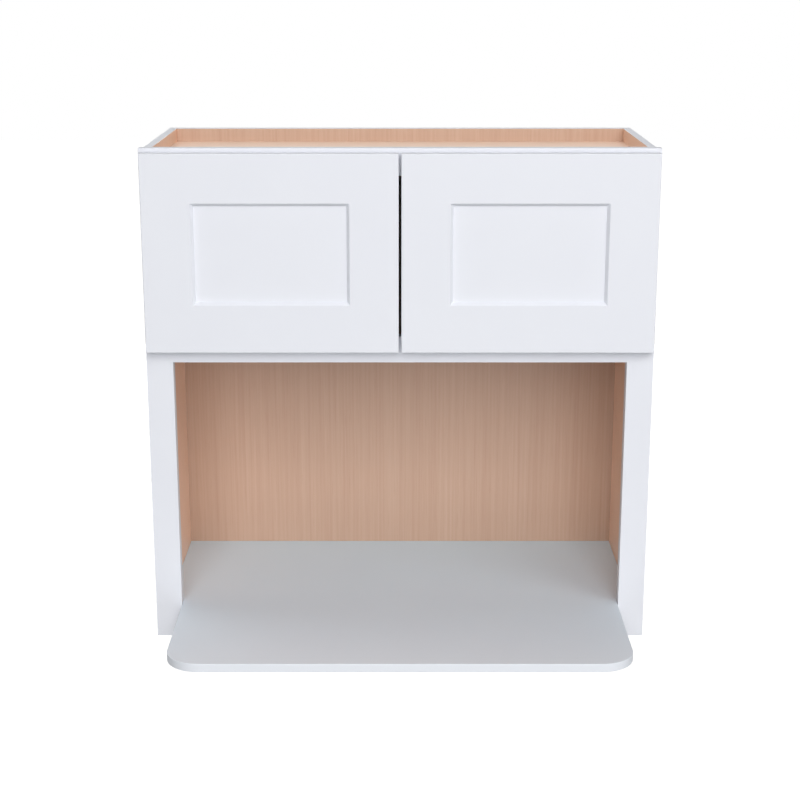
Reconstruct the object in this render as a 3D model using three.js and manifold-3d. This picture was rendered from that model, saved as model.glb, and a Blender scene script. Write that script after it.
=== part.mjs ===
// A face-framed wall cabinet for a microwave oven: two five-piece doors on concealed hinges
// over an open niche, and a deep shelf that runs out through the face frame.
// Sizes are in millimetres. X runs to the right, Y from the room to the wall, and Z up.
// The cabinet is laid out with X = 0 on its middle, Y = 0 on the face frame's front and Z = 0
// at its foot. The last group moves it, so that the origin is where the cabinet hangs: the
// middle of the top hanging rail's back face.

import * as THREE from "three";
import { mergeVertices } from "three/addons/utils/BufferGeometryUtils.js";
import Module from "manifold-3d";

const wasm = await Module();
wasm.setup();

// ---------------------------------------------------------------- sizes of the carcass
const cabinetWidth = 762; // over the face frame
const cabinetHeight = 762;
const cabinetDepth = 304.8; // face frame's front to the wall
const fit = 0.3; // gap left between two pieces that seat on each other

const frameThickness = 19;
const stileWidth = 40;
const topRailHeight = 40;
const middleRailHeight = 40;
const bottomRailHeight = 40;
const doorOpeningHeight = 240; // between the top rail and the middle rail
const frameOverhang = 6; // stile past the side panel's outer face
const frameGrooveDepth = 6; // groove in the stile's back that takes the side panel
const tenonLength = 12;
const tenonThickness = 7;
const tenonShoulder = 6; // rail above and below its tenon

const sideThickness = 12.7;
const housingDepth = 6; // housings in the side panels for the top, deck, shelf and back
const topThickness = 12.7;
const topRecess = 20.5; // top panel's upper face below the cabinet's top edge
const deckThickness = 12.7;
const backThickness = 5.5;
const hangingRailThickness = 12.7;
const hangingRailHeight = 80;

const shelfThickness = 13;
const shelfReach = 226; // shelf past the face frame's front
const shelfCornerRadius = 50;
const shelfSideGap = 0.8; // shelf to the face frame's stile, each side
const shelfTongueShoulder = 4; // shelf's top above its tongues in the side panels

// ---------------------------------------------------------------- sizes of the doors
const doorThickness = 19;
const doorStandoff = 2.5; // door's back to the face frame's front
const sideReveal = 3.1; // face frame seen beside a closed door
const topReveal = 5.7;
const lowerReveal = 19.4; // middle rail seen below the doors
const meetingGap = 3.8; // between the two doors
const memberFace = 72; // flat face of a door stile or rail
const bevelWidth = 4.2;
const bevelDepth = 5.3;
const panelRecess = 6.3; // panel's face behind the door's face
const panelThickness = 6;
const doorGrooveDepth = 10;
const doorEdgeRadius = 1.5;
const bumperRadius = 4.5;
const bumperInset = 11; // bumper's middle from the door's edges

// ---------------------------------------------------------------- sizes of the hinges
const hingeInset = 66; // hinge's middle from the door's end
const cupRadius = 17.5;
const cupDepth = 12.8;
const cupWall = 0.8;
const cupSides = 36; // facets round the cup and its bore
const cupTab = 3; // door's edge to the cup's bore
const flangeThickness = 0.8;
const flangeRing = 1; // flange past the cup, all round
const wingRadius = 5.5;
const cupScrewSpacing = 45;
const cupScrewOffset = 9.5; // screws behind the cup's middle, away from the door's edge
const pinRadius = 1.25;
const pinClearance = 0.2;
const pinFromEdge = 7.5; // pin's axis from the door's edge
const pinInDoor = 9.3; // pin's axis in front of the door's back
const armThickness = 1.6;
const armWidth = 11;
const armBend = 1.1; // bend radius at the arm's middle line
const neckBend = 6; // wide bend at the bottom of the cup
const neckClearance = 1.6; // cup's inner wall to the arm's neck
const plateWidth = 28; // arm's plate on the stile, along Z
const plateFront = 1.5; // plate's front edge behind the stile's front
const plateBack = 17.5;
const plateScrewSpacing = 19;
const earThickness = 2.6; // cup's wall round the pin
const screwHeadRadius = 3.3;
const cupScrewHead = 0.9; // height of the head over the flange
const plateScrewHead = 1.9;
const screwShankRadius = 1.6;
const cupScrewLength = 9;
const plateScrewLength = 15;

// ---------------------------------------------------------------- places that follow
const frameHalf = cabinetWidth / 2;
const openingHalf = frameHalf - stileWidth;
const sideOuter = frameHalf - frameOverhang;
const sideInner = sideOuter - sideThickness;
const housedHalf = sideInner + housingDepth - fit; // half width of a housed panel
const topRailFoot = cabinetHeight - topRailHeight;
const middleRailTop = topRailFoot - doorOpeningHeight;
const middleRailFoot = middleRailTop - middleRailHeight;
const topPanelTop = cabinetHeight - topRecess;
const shelfFoot = bottomRailHeight + fit;
const shelfTop = shelfFoot + shelfThickness;
const shelfTongueTop = shelfTop - shelfTongueShoulder;
const panelFront = frameThickness + fit; // front edge of the housed panels
const backFront = cabinetDepth - hangingRailThickness - fit - backThickness;
const panelBack = backFront - fit;

const doorOuter = frameHalf - sideReveal;
const doorInner = meetingGap / 2;
const doorTop = cabinetHeight - topReveal;
const doorFoot = middleRailFoot + lowerReveal;
const doorBack = -doorStandoff;
const doorFront = doorBack - doorThickness;
const memberWidth = memberFace + bevelWidth;
const grooveFront = panelRecess - fit;
const grooveBack = panelRecess + panelThickness + fit;
const grooveFloor = memberWidth - doorGrooveDepth;

const cupX = doorOuter - cupTab - cupRadius;
const pinX = doorOuter - pinFromEdge;
const pinY = doorBack - pinInDoor;
const pinHoleRadius = pinRadius + pinClearance;
const pinHoleLength = 2 * Math.sqrt(cupRadius ** 2 - (pinX - cupX + pinHoleRadius) ** 2) - cupWall;
const pinLength = pinHoleLength - 2 * fit;
const eyeRadius = pinHoleRadius + armThickness * 0.6;
const notchHalf = armWidth / 2 + 2 * fit;

const X = new THREE.Vector3(1, 0, 0);
const Y = new THREE.Vector3(0, 1, 0);
const Z = new THREE.Vector3(0, 0, 1);

// ---------------------------------------------------------------- finishes
const finishes = {
  paint: new THREE.MeshStandardMaterial({ color: 0xe9ebf0, roughness: 0.45, metalness: 0 }),
  veneer: new THREE.MeshStandardMaterial({ color: 0xcfa68a, roughness: 0.5, metalness: 0 }),
  plywood: new THREE.MeshStandardMaterial({ color: 0xdcbf9c, roughness: 0.75, metalness: 0 }),
  steel: new THREE.MeshStandardMaterial({ color: 0xb9bcc0, roughness: 0.3, metalness: 1 }),
  bumper: new THREE.MeshStandardMaterial({ color: 0xdfe3e6, roughness: 0.35, metalness: 0 }),
};

// ---------------------------------------------------------------- geometry helpers
// A box between two corners.
function box(x0, x1, y0, y1, z0, z1) {
  const made = new THREE.BoxGeometry(x1 - x0, y1 - y0, z1 - z0);
  return made.translate((x0 + x1) / 2, (y0 + y1) / 2, (z0 + z1) / 2);
}

// A shape drawn in X and Y, extruded upwards, with this many sides round each of its arcs.
function prism(shape, z0, z1, sides = 16) {
  const settings = { depth: z1 - z0, bevelEnabled: false, curveSegments: sides / 2 };
  const made = new THREE.ExtrudeGeometry(shape, settings);
  return made.translate(0, 0, z0);
}

// Lays a geometry so that its own X runs along u and its own Y along t, from a point.
function lay(geometry, u, t, at) {
  const turn = new THREE.Matrix4().makeBasis(u, t, new THREE.Vector3().crossVectors(u, t));
  return geometry.applyMatrix4(turn.setPosition(at));
}

function solidOf(geometry) {
  const bare = geometry.clone();
  bare.deleteAttribute("normal");
  bare.deleteAttribute("uv");
  const merged = mergeVertices(bare, 1e-4);
  const vertProperties = merged.attributes.position.array;
  const triVerts = new Uint32Array(merged.index.array);
  return new wasm.Manifold(new wasm.Mesh({ numProp: 3, vertProperties, triVerts }));
}

function geometryOf(solid) {
  const mesh = solid.getMesh();
  const made = new THREE.BufferGeometry();
  made.setAttribute("position", new THREE.BufferAttribute(mesh.vertProperties, 3));
  made.setIndex(new THREE.BufferAttribute(mesh.triVerts, 1));
  made.computeVertexNormals();
  return made;
}

function join(...geometries) {
  return geometryOf(geometries.map(solidOf).reduce((whole, part) => whole.add(part)));
}

function cut(geometry, ...tools) {
  return geometryOf(tools.map(solidOf).reduce((whole, tool) => whole.subtract(tool), solidOf(geometry)));
}

function common(a, b) {
  return geometryOf(solidOf(a).intersect(solidOf(b)));
}

// A round bar along Y from one height to another, with its sides along Y.
function roundBar(radius, y0, y1, sides = 24) {
  return new THREE.CylinderGeometry(radius, radius, y1 - y0, sides).translate(0, (y0 + y1) / 2, 0);
}

function circleShape(radius) {
  const shape = new THREE.Shape();
  shape.absarc(0, 0, radius, 0, 2 * Math.PI);
  return shape;
}

function polygon(points) {
  return new THREE.Shape(points.map(([x, y]) => new THREE.Vector2(x, y)));
}

function named(name, geometry, finish) {
  const mesh = new THREE.Mesh(geometry, finishes[finish]);
  mesh.name = name;
  return mesh;
}

// ---------------------------------------------------------------- face frame
// The stile's section, with the groove in its back that the side panel's front edge enters.
function frameStile() {
  const grooveInner = sideInner - fit;
  const grooveOuter = sideOuter + fit;
  const grooveBottom = frameThickness - frameGrooveDepth;
  const section = polygon([
    [openingHalf, 0],
    [frameHalf, 0],
    [frameHalf, frameThickness],
    [grooveOuter, frameThickness],
    [grooveOuter, grooveBottom],
    [grooveInner, grooveBottom],
    [grooveInner, frameThickness],
    [openingHalf, frameThickness],
  ]);
  const mortises = frameRailSpans.map(([foot, top]) =>
    tenonBox(openingHalf - fit, openingHalf + tenonLength + fit, foot, top, fit),
  );
  return cut(prism(section, 0, cabinetHeight), ...mortises, ...hingeHeights.flatMap(plateScrewHoles));
}

const frameRailSpans = [
  [topRailFoot, cabinetHeight],
  [middleRailFoot, middleRailTop],
  [0, bottomRailHeight],
];

// The tenon of a rail between two heights, grown by a gap where it is a mortise.
function tenonBox(x0, x1, foot, top, grow) {
  const y = frameThickness / 2;
  const half = tenonThickness / 2 + grow;
  return box(x0, x1, y - half, y + half, foot + tenonShoulder - grow, top - tenonShoulder + grow);
}

function frameRail([foot, top]) {
  const body = box(-openingHalf + fit, openingHalf - fit, 0, frameThickness, foot, top);
  const reach = openingHalf + tenonLength;
  return join(body, tenonBox(-reach, reach, foot, top, 0));
}

// ---------------------------------------------------------------- carcass
// A side panel, housed for the top, deck, shelf and back, with its front edge in the stile.
function sidePanel() {
  const front = frameThickness - frameGrooveDepth + fit;
  const floor = sideInner + housingDepth;
  const open = sideInner - fit;
  const housing = (foot, top) => box(open, floor, front - fit, backFront, foot - fit, top + fit);
  const backGroove = box(
    open,
    floor,
    backFront - fit,
    backFront + backThickness + fit,
    -fit,
    cabinetHeight + fit,
  );
  return cut(
    box(sideInner, sideOuter, front, cabinetDepth, 0, cabinetHeight),
    housing(topPanelTop - topThickness, topPanelTop),
    housing(middleRailTop - deckThickness, middleRailTop),
    housing(shelfFoot, shelfTongueTop),
    backGroove,
  );
}

function housedPanel(foot, top) {
  return box(-housedHalf, housedHalf, panelFront, panelBack, foot, top);
}

// The shelf: it fills the cabinet behind the face frame, with a bare-faced tongue in each side
// panel's housing, and is notched round the stiles. Where it runs out over the bottom rail it is
// as wide as the opening and ends in two round corners.
function microwaveShelf() {
  const inside = sideInner - fit;
  const half = openingHalf - shelfSideGap;
  const front = -shelfReach;
  const r = shelfCornerRadius;
  const plan = new THREE.Shape();
  plan.moveTo(-inside, panelBack);
  plan.lineTo(-inside, panelFront);
  plan.lineTo(-half, panelFront);
  plan.lineTo(-half, front + r);
  plan.absarc(-half + r, front + r, r, Math.PI, 1.5 * Math.PI);
  plan.lineTo(half - r, front);
  plan.absarc(half - r, front + r, r, 1.5 * Math.PI, 2 * Math.PI);
  plan.lineTo(half, panelFront);
  plan.lineTo(inside, panelFront);
  plan.lineTo(inside, panelBack);
  return join(prism(plan, shelfFoot, shelfTop, 24), housedPanel(shelfFoot, shelfTongueTop));
}

function backPanel() {
  return box(-housedHalf, housedHalf, backFront, backFront + backThickness, 0, cabinetHeight);
}

function hangingRail(foot) {
  const half = sideInner - fit;
  const front = cabinetDepth - hangingRailThickness;
  return box(-half, half, front, cabinetDepth, foot, foot + hangingRailHeight);
}

// ---------------------------------------------------------------- doors
// Section of a door stile or rail: its own X runs in from the door's outer edge and its own Y
// back from the door's face. It has eased outer edges, a bevel down to the panel and the
// panel's groove. Grown, it is what a rail's end is coped to.
function memberSection(grow = 0) {
  const r = doorEdgeRadius;
  const inner = memberWidth + grow;
  const section = new THREE.Shape();
  section.moveTo(r, -grow);
  section.lineTo(memberFace + grow, -grow);
  section.lineTo(inner, bevelDepth);
  section.lineTo(inner, grooveFront + grow);
  section.lineTo(grooveFloor + grow, grooveFront + grow);
  section.lineTo(grooveFloor + grow, grooveBack - grow);
  section.lineTo(inner, grooveBack - grow);
  section.lineTo(inner, doorThickness + grow);
  section.lineTo(r, doorThickness + grow);
  section.absarc(r, doorThickness + grow - r, r, 0.5 * Math.PI, Math.PI);
  section.lineTo(0, r - grow);
  section.absarc(r, r - grow, r, Math.PI, 1.5 * Math.PI);
  return section;
}

function memberBar(length, grow) {
  return prism(memberSection(grow), 0, length, 4);
}

function outerStileBar(grow) {
  const at = new THREE.Vector3(doorOuter, doorFront, doorTop);
  return lay(memberBar(doorTop - doorFoot, grow), X.clone().negate(), Y, at);
}

function innerStileBar(grow) {
  const at = new THREE.Vector3(doorInner, doorFront, doorFoot);
  return lay(memberBar(doorTop - doorFoot, grow), X, Y, at);
}

// A rail runs from one stile's groove to the other's. Both ends are coped to the stiles, which
// leaves the tongues that enter the grooves.
function doorRail(isTop) {
  const from = doorInner + grooveFloor + fit;
  const to = doorOuter - grooveFloor - fit;
  const bar = memberBar(to - from, 0);
  const placed = isTop
    ? lay(bar, Z.clone().negate(), Y, new THREE.Vector3(from, doorFront, doorTop))
    : lay(bar, Z, Y, new THREE.Vector3(to, doorFront, doorFoot));
  return cut(placed, outerStileBar(fit), innerStileBar(fit));
}

function doorPanel() {
  const edge = grooveFloor + fit;
  return box(
    doorInner + edge,
    doorOuter - edge,
    doorFront + panelRecess,
    doorFront + panelRecess + panelThickness,
    doorFoot + edge,
    doorTop - edge,
  );
}

// The outer stile is bored for the two hinge cups and their screws.
function doorOuterStile() {
  const top = doorBack + fit;
  const bore = (radius, depth, sides) => roundBar(radius + fit, doorBack - depth - fit, top, sides);
  const bores = hingeHeights.flatMap((height) => [
    bore(cupRadius, cupDepth, cupSides).translate(cupX, 0, height),
    ...cupScrewPlaces(height).map(([x, z]) => bore(screwShankRadius, cupScrewLength, 12).translate(x, 0, z)),
  ]);
  return cut(outerStileBar(0), ...bores);
}

// A round clear bumper on the door's back, just short of the face frame.
function bumper(height) {
  const thickness = doorStandoff - fit;
  const shoulder = thickness * 0.55;
  const profile = [
    [0, 0],
    [bumperRadius, 0],
    [bumperRadius, shoulder],
    [bumperRadius * 0.86, thickness * 0.86],
    [bumperRadius * 0.6, thickness],
    [0, thickness],
  ].map(([r, y]) => new THREE.Vector2(r, y));
  return new THREE.LatheGeometry(profile, 20).translate(doorInner + bumperInset, doorBack, height);
}

// ---------------------------------------------------------------- hinges
const hingeHeights = [doorTop - hingeInset, doorFoot + hingeInset];

function cupScrewPlaces(height) {
  const half = cupScrewSpacing / 2;
  return [half, -half].map((z) => [cupX - cupScrewOffset, height + z]);
}

function plateScrewPlaces(height) {
  const half = plateScrewSpacing / 2;
  const y = (plateFront + plateBack) / 2;
  return [half, -half].map((z) => [y, height + z]);
}

// A bar along X, for what crosses the arm's plate and enters the stile's inner edge.
function sideBar(radius, x0, x1, y, z) {
  return roundBar(radius, x0, x1, 12).rotateZ(-Math.PI / 2).translate(0, y, z);
}

function plateScrewHoles(height) {
  return plateScrewPlaces(height).map(([y, z]) =>
    sideBar(screwShankRadius + fit, openingHalf - fit, openingHalf + plateScrewLength + fit, y, z),
  );
}

// The cup, with its mouth on the door's back: a pressed bowl, a flange with two wings that lies
// on the door, two ears that hold the pin, and a notch that lets the arm out.
function hingeCup(height) {
  const inner = cupRadius - cupWall;
  const inWall = cupRadius - cupWall / 2;
  const lip = flangeThickness / 2;
  const bowl = [
    [0, -cupDepth],
    [cupRadius - 1, -cupDepth],
    [cupRadius, -cupDepth + 1],
    [cupRadius, lip],
    [inner, lip],
    [inner, -cupDepth + cupWall],
    [0, -cupDepth + cupWall],
  ].map(([r, y]) => new THREE.Vector2(r, y));
  const ears = [1, -1].map((end) => hingeEar(end * notchHalf, inWall));
  const whole = join(new THREE.LatheGeometry(bowl, cupSides), hingeFlange(inWall), ...ears);
  const ringEdge = -cupRadius - flangeRing - fit;
  const notch = box(ringEdge, -inner / 2, -fit, flangeThickness + fit, -notchHalf, notchHalf);
  const pinHole = pinBar(pinHoleRadius, pinHoleLength).translate(pinX - cupX, -pinInDoor, 0);
  return cut(whole, notch, pinHole).translate(cupX, doorBack, height);
}

// The flange: a ring and two wings in one sheet, with a hole for a screw in each wing.
function hingeFlange(holeRadius) {
  const half = cupScrewSpacing / 2;
  const wings = new THREE.Shape();
  wings.absarc(-cupScrewOffset, half, wingRadius, 0, Math.PI);
  wings.absarc(-cupScrewOffset, -half, wingRadius, Math.PI, 2 * Math.PI);
  const ring = circleShape(cupRadius + flangeRing);
  const sheet = join(prism(ring, 0, flangeThickness, cupSides), prism(wings, 0, flangeThickness, 10));
  const hole = (radius, sides) => prism(circleShape(radius), -fit, flangeThickness + fit, sides);
  const holes = [half, -half].map((y) => hole(screwShankRadius + fit, 12).translate(-cupScrewOffset, y, 0));
  const mouth = hole(holeRadius, cupSides);
  return lay(cut(sheet, mouth, ...holes), X, Z.clone().negate(), new THREE.Vector3());
}

// One of the two blocks that carry the pin, from the notch's side to the cup's wall.
function hingeEar(from, reach) {
  const to = Math.sign(from) * cupRadius;
  const x = pinX - cupX;
  return common(
    box(
      x - earThickness,
      cupRadius,
      -cupDepth + cupWall / 2,
      -pinInDoor + earThickness,
      Math.min(from, to),
      Math.max(from, to),
    ),
    roundBar(reach, -cupDepth, 0, cupSides),
  );
}

// A round bar along Z, centred on the origin.
function pinBar(radius, length) {
  return prism(circleShape(radius), -length / 2, length / 2, 16);
}

function hingePin(height) {
  return pinBar(pinRadius, pinLength).translate(pinX, pinY, height);
}

// A strip of even thickness along a path, as a closed outline.
function stripOutline(path, thickness, divisions) {
  const line = path.getPoints(divisions);
  const sides = line.map((point, i) => {
    const before = line[Math.max(i - 1, 0)];
    const after = line[Math.min(i + 1, line.length - 1)];
    const along = after.clone().sub(before).normalize();
    const across = new THREE.Vector2(-along.y, along.x).multiplyScalar(thickness / 2);
    return [point.clone().add(across), point.clone().sub(across)];
  });
  return new THREE.Shape([...sides.map(([left]) => left), ...sides.map(([, right]) => right).reverse()]);
}

// The arm: a plate on the stile's inner edge, bent round the stile's front corner, over the
// cup's rim and down into the cup, where it runs under the pin and ends in an eye.
function hingeArm(height) {
  const b = armBend;
  const half = armThickness / 2;
  const plateX = openingHalf - fit - half;
  const overRim = -fit - half;
  const neckX = Math.max(cupX - cupRadius + cupWall + neckClearance + half, plateX + 2 * b);
  const underPin = pinY - eyeRadius + half;
  const path = new THREE.Path();
  path.moveTo(plateX, plateBack);
  path.lineTo(plateX, overRim + b);
  path.absarc(plateX + b, overRim + b, b, Math.PI, 1.5 * Math.PI);
  path.lineTo(neckX - b, overRim);
  path.absarc(neckX - b, overRim - b, b, 0.5 * Math.PI, 0, true);
  path.lineTo(neckX, underPin + neckBend);
  path.absarc(neckX + neckBend, underPin + neckBend, neckBend, Math.PI, 1.5 * Math.PI);
  path.lineTo(pinX, underPin);
  const strip = prism(stripOutline(path, armThickness, 5), -armWidth / 2, armWidth / 2);
  const plate = box(plateX - half, plateX + half, plateFront, plateBack, -plateWidth / 2, plateWidth / 2);
  const eye = pinBar(eyeRadius, armWidth).translate(pinX, pinY, 0);
  const pinHole = pinBar(pinHoleRadius, armWidth + 2 * fit).translate(pinX, pinY, 0);
  const screwHoles = plateScrewPlaces(0).map(([y, z]) =>
    sideBar(screwShankRadius + fit, plateX - 2 * half, plateX + 2 * half, y, z),
  );
  return cut(join(strip, plate, eye), pinHole, ...screwHoles).translate(0, 0, height);
}

// A domed screw along Y: its head stands on Y = 0 and its shank goes down.
function screw(headHeight, length) {
  const profile = [
    [0, -length],
    [screwShankRadius * 0.35, -length + screwShankRadius],
    [screwShankRadius, -length + 2 * screwShankRadius],
    [screwShankRadius, 0],
    [screwHeadRadius, 0],
    [screwHeadRadius, headHeight * 0.4],
    [screwHeadRadius * 0.6, headHeight],
    [0, headHeight],
  ].map(([r, y]) => new THREE.Vector2(r, y));
  return new THREE.LatheGeometry(profile, 10);
}

function hinge(place, height, hand) {
  const cupScrews = cupScrewPlaces(height).map(([x, z], i) =>
    named(
      `${place}_cup_screw_${i + 1}_${hand}`,
      screw(cupScrewHead, cupScrewLength).translate(x, doorBack + flangeThickness, z),
      "steel",
    ),
  );
  const plateScrews = plateScrewPlaces(height).map(([y, z], i) =>
    named(
      `${place}_plate_screw_${i + 1}_${hand}`,
      screw(plateScrewHead, plateScrewLength)
        .rotateZ(Math.PI / 2)
        .translate(openingHalf - fit - armThickness, y, z),
      "steel",
    ),
  );
  return [
    named(`${place}_hinge_cup_${hand}`, hingeCup(height), "steel"),
    named(`${place}_hinge_arm_${hand}`, hingeArm(height), "steel"),
    named(`${place}_hinge_pin_${hand}`, hingePin(height), "steel"),
    ...cupScrews,
    ...plateScrews,
  ];
}

// ---------------------------------------------------------------- assembly
// All that one side of the cabinet has, drawn for the right. The left is its mirror image.
function handedSide(hand) {
  const side = new THREE.Group();
  side.add(
    named(`frame_stile_${hand}`, frameStile(), "paint"),
    named(`side_panel_${hand}`, sidePanel(), "veneer"),
    named(`door_outer_stile_${hand}`, doorOuterStile(), "paint"),
    named(`door_inner_stile_${hand}`, innerStileBar(0), "paint"),
    named(`door_top_rail_${hand}`, doorRail(true), "paint"),
    named(`door_bottom_rail_${hand}`, doorRail(false), "paint"),
    named(`door_panel_${hand}`, doorPanel(), "paint"),
    named(`upper_bumper_${hand}`, bumper(doorTop - bumperInset), "bumper"),
    named(`lower_bumper_${hand}`, bumper(doorFoot + bumperInset), "bumper"),
    ...hinge("upper", hingeHeights[0], hand),
    ...hinge("lower", hingeHeights[1], hand),
  );
  return side;
}

const right = handedSide("right");
const left = handedSide("left");
left.scale.x = -1;

const cabinet = new THREE.Group();
cabinet.add(
  left,
  right,
  named("frame_top_rail", frameRail(frameRailSpans[0]), "paint"),
  named("frame_middle_rail", frameRail(frameRailSpans[1]), "paint"),
  named("frame_bottom_rail", frameRail(frameRailSpans[2]), "paint"),
  named("top_panel", housedPanel(topPanelTop - topThickness, topPanelTop), "veneer"),
  named("middle_deck", housedPanel(middleRailTop - deckThickness, middleRailTop), "veneer"),
  named("microwave_shelf", microwaveShelf(), "paint"),
  named("back_panel", backPanel(), "veneer"),
  named("top_hanging_rail", hangingRail(cabinetHeight - hangingRailHeight), "plywood"),
  named("bottom_hanging_rail", hangingRail(0), "plywood"),
);
cabinet.position.set(0, -cabinetDepth, -(cabinetHeight - hangingRailHeight / 2));

const whole = new THREE.Group();
whole.add(cabinet);

export default whole;
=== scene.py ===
# %% [markdown]
# # A kitchen wall cabinet for a microwave oven
#
# The cabinet hangs on the wall at eye height. It has a painted face frame, two doors with a
# recessed panel each, on concealed hinges, and under them an open niche lined with maple-faced
# boards. A deep painted shelf runs out through the frame, so that an ordinary oven fits in a
# cabinet that is only a foot deep.
#
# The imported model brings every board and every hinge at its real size, in metres, with the
# origin where the cabinet hangs on its wall. X runs to the right, Y towards the wall and Z up.
# This script gives the boards their finishes, and remakes the pieces that need finer edges,
# closed paint joints or small metalwork. It never moves one.

# %% Load the frame
import math

import bmesh
import bpy
from mathutils import Matrix, Vector


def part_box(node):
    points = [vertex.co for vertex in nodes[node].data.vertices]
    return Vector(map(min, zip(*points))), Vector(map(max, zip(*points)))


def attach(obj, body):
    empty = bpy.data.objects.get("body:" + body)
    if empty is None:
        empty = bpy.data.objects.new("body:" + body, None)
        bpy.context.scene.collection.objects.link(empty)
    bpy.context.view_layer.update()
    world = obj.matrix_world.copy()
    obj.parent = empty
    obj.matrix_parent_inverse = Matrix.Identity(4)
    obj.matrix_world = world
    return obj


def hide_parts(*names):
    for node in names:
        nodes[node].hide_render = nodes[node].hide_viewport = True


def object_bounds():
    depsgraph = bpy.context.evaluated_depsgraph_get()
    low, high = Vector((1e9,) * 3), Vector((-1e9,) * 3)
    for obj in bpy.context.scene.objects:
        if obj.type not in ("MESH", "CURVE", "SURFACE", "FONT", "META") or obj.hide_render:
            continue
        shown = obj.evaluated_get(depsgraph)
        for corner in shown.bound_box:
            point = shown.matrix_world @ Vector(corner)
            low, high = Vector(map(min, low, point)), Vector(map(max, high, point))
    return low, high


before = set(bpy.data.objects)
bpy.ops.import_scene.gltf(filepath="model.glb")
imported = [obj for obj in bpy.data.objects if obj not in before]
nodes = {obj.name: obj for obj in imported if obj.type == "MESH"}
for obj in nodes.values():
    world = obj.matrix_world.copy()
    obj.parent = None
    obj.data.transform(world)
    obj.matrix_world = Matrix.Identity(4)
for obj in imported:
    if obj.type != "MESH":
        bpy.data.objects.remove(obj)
cad_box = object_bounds()
MM = 0.001
print("cabinet in mm:", [round((high - low) / MM, 1) for low, high in zip(*cad_box)])

# %% [markdown]
# ## Camera
#
# A product photograph of a cabinet is taken from a little above, so that the shelf's top shows.
# The lens is longer than a normal one, so that the near parts don't swell. The camera stands on
# the cabinet's middle plane and only tips down.

# %% Camera
CAMERA_LENS = 73.08  # millimetres, on a sensor 36 mm wide
CAMERA_FROM_WALL = 2.6755
CAMERA_HEIGHT = 0.301
CAMERA_DIP = 15.095  # degrees below level

camera = bpy.data.objects.new("camera", bpy.data.cameras.new("camera"))
camera.data.lens = CAMERA_LENS
camera.location = (0, -CAMERA_FROM_WALL, CAMERA_HEIGHT)
camera.rotation_euler = (math.radians(90 - CAMERA_DIP), 0, 0)
bpy.context.scene.collection.objects.link(camera)
bpy.context.scene.camera = camera
print("camera:", CAMERA_LENS, "mm lens, tipped", CAMERA_DIP, "degrees down")

# %% [markdown]
# ## Shader arithmetic
#
# Every finish below is a Principled shader whose sockets are driven by small sums: a noise times
# a strength, one minus a mask. Wiring Math nodes by hand hides the sum, so a small class wraps
# a socket and lets Python's operators add the nodes. Any other kind of node comes from one
# method of the tree: it takes the node's type, the settings that are chosen first, and then the
# values or wires of its inputs. The world is such a tree too, so it is wired in the same way.

# %% Shader arithmetic
class Wire:
    """An output socket in a tree. Arithmetic on it adds Math nodes."""

    def __init__(self, tree, socket):
        self.tree = tree
        self.socket = socket

    def beside(self, output):
        """Another output of the same node."""
        return Wire(self.tree, self.socket.node.outputs[output])

    def math(self, operation, *values):
        return self.tree.node("ShaderNodeMath", {"operation": operation}, dict(enumerate(values)))

    def __add__(self, other):
        return self.math("ADD", self, other)

    def __sub__(self, other):
        return self.math("SUBTRACT", self, other)

    def __rsub__(self, other):
        return self.math("SUBTRACT", other, self)

    def __mul__(self, other):
        return self.math("MULTIPLY", self, other)

    def __mod__(self, other):
        return self.math("FLOORED_MODULO", self, other)

    def __gt__(self, other):
        return self.math("GREATER_THAN", self, other)

    def __lt__(self, other):
        return self.math("LESS_THAN", self, other)

    def __abs__(self):
        return self.math("ABSOLUTE", self)

    __radd__ = __add__
    __rmul__ = __mul__


class Tree:
    """The node tree of a material or a world, with the shader that its values drive."""

    def __init__(self, owner, shader):
        owner.use_nodes = True
        self.nodes = owner.node_tree.nodes
        self.links = owner.node_tree.links
        self.shader = self.nodes[shader]

    def node(self, kind, settings=None, inputs=None, output=0):
        """Adds a node, and gives a wire from one of its outputs."""
        made = self.nodes.new(kind)
        for name, value in (settings or {}).items():
            setattr(made, name, value)
        for name, value in (inputs or {}).items():
            self.feed(made.inputs[name], value)
        return Wire(self, made.outputs[output])

    def feed(self, socket, value):
        if isinstance(value, Wire):
            self.links.new(value.socket, socket)
        else:
            socket.default_value = value

    def drive(self, values):
        for name, value in values.items():
            self.feed(self.shader.inputs[name], value)


class Finish(Tree):
    """A material with one Principled shader. Even values go on the shader's own sockets."""

    def __init__(self, name, even_values=None):
        self.material = bpy.data.materials.new(name)
        super().__init__(self.material, "Principled BSDF")
        self.drive(even_values or {})

    def surface(self, colour, roughness, height):
        """Drives what changes over the surface. The height is in metres."""
        normal = self.node("ShaderNodeBump", inputs={"Height": height, "Distance": 1.0})
        self.drive({"Base Color": colour, "Roughness": roughness, "Normal": normal})
        return self.material

    def place(self):
        """The point on the object, and its three parts."""
        where = self.node("ShaderNodeTexCoord", output="Object")
        parts = self.node("ShaderNodeSeparateXYZ", inputs={"Vector": where})
        return where, *(parts.beside(axis) for axis in "XYZ")

    def noise(self, where, scale, detail=2.0, roughness=0.5, stretch=(1, 1, 1)):
        where = self.node("ShaderNodeMapping", inputs={"Vector": where, "Scale": stretch})
        inputs = {"Vector": where, "Scale": scale, "Detail": detail, "Roughness": roughness}
        return self.node("ShaderNodeTexNoise", inputs=inputs)

    def blend(self, share, first, second):
        """A colour between two, the second where share is 1."""
        inputs = {0: share, 6: first, 7: second}
        return self.node("ShaderNodeMix", {"data_type": "RGBA"}, inputs, output=2)


def chart(red, green, blue):
    """A colour as a paint chart gives it, from 0 to 255, in the shader's linear values."""
    steps = (red / 255, green / 255, blue / 255)
    return (*(((s + 0.055) / 1.055) ** 2.4 if s > 0.04 else s / 12.92 for s in steps), 1.0)


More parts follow.
